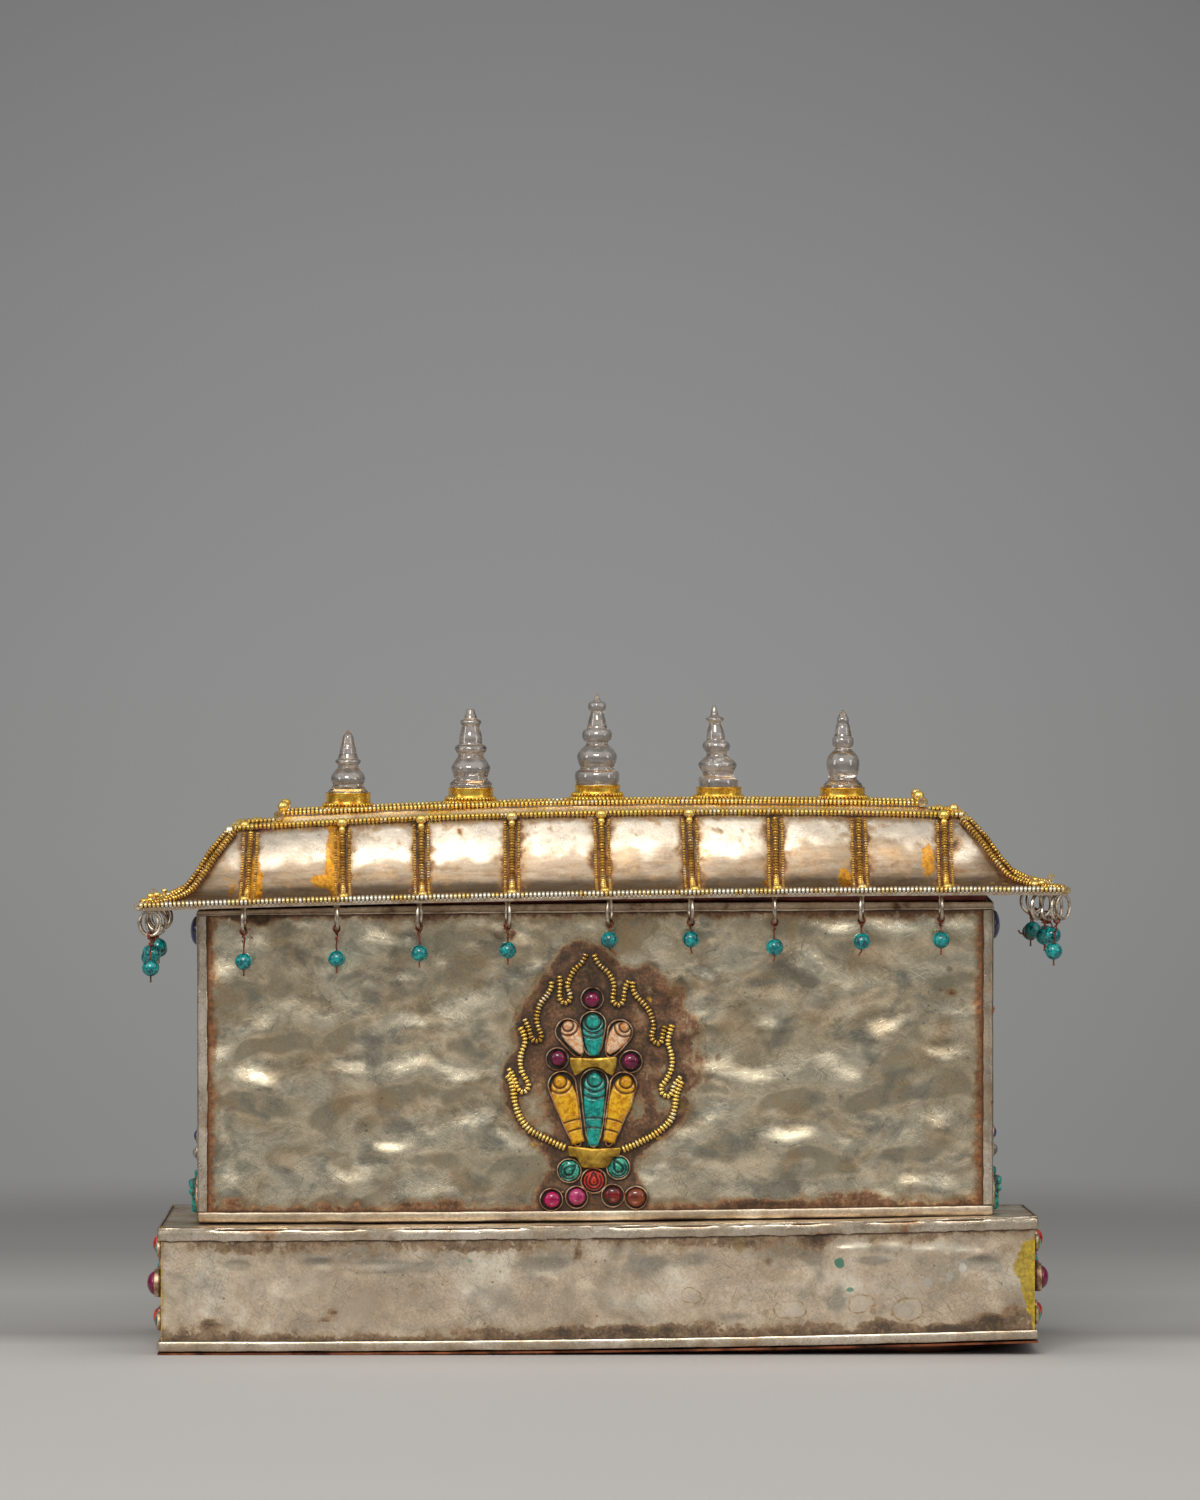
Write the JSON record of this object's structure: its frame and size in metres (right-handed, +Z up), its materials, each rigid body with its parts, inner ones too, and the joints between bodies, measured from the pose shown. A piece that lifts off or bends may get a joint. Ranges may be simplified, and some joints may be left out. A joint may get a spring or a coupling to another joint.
{
  "type": "portable shrine box",
  "caption": "House-shaped portable shrine box of sheet silver on a low plinth, with a hipped lift-off roof, rock-crystal finials, hanging beads and a jewelled emblem on the front.",
  "frame": {"origin": "on the surface the box stands on, under the middle of the overall outline", "axes": "+Z up, +X to the right along the long front, -Y towards the viewer of the front"},
  "size_m": [0.2788, 0.1042, 0.1976],
  "materials": {
    "silver": "softly hammered sheet silver with warm grey highlights, brown patina at edges and joints",
    "copper": "oxidised reddish brown copper sheet",
    "gilt": "rich yellow gilding with brown-black crevices, silver showing where worn",
    "board": "thin board painted dark red, dull",
    "crystal": "clear grey rock crystal with faint veils, polished",
    "turquoise": "polished blue-green turquoise with dark veins",
    "ruby": "deep pink-red polished cabochon",
    "shell": "pinkish shell with carved lines",
    "yellow_stone": "opaque yellow stone with dark carved lines",
    "green_stone": "dark green carved stone",
    "coral": "carved red coral",
    "garnet": "dark red-brown polished cabochon",
    "drop": "turquoise bead on copper wire and a silver ring"
  },
  "bodies": {
    "root": {"base_box": "silver", "base_foot_strip": "silver", "base_top_strip": "silver", "body_box": "silver", "body_foot_strip": "silver", "body_head_strip": "silver", "bottom_sheet": "copper", "brown_stone": "garnet", "corner_strip_back_left": "silver", "corner_strip_back_right": "silver", "corner_strip_front_left": "silver", "corner_strip_front_right": "silver", "crystal_finial_1": "crystal", "crystal_finial_2": "crystal", "crystal_finial_3": "crystal", "crystal_finial_4": "crystal", "crystal_finial_5": "crystal", "deck_wire": "gilt", "eave_drop_1": "drop", "eave_drop_10": "drop", "eave_drop_11": "drop", "eave_drop_2": "drop", "eave_drop_3": "drop", "eave_drop_4": "drop", "eave_drop_5": "drop", "eave_drop_6": "drop", "eave_drop_7": "drop", "eave_drop_8": "drop", "eave_drop_9": "drop", "emblem_setting": "silver", "finial_cup_1": "gilt", "finial_cup_2": "gilt", "finial_cup_3": "gilt", "finial_cup_4": "gilt", "finial_cup_5": "gilt", "flame_wires_left": "gilt", "flame_wires_right": "gilt", "garnet_stone": "garnet", "gilt_band_lower": "gilt", "gilt_band_upper": "gilt", "green_stone_left": "green_stone", "green_stone_right": "green_stone", "magenta_stone": "ruby", "pink_stone": "ruby", "red_stone_middle": "coral", "roof_deck": "silver", "roof_shell": "silver", "roof_underboard": "board", "roof_wirework": "gilt", "ruby_side_left": "ruby", "ruby_side_right": "ruby", "ruby_top": "ruby", "shell_petal_left": "shell", "shell_petal_right": "shell", "turquoise_petal_lower": "turquoise", "turquoise_petal_upper": "turquoise", "yellow_petal_left": "yellow_stone", "yellow_petal_right": "yellow_stone"}
  },
  "joints": []
}
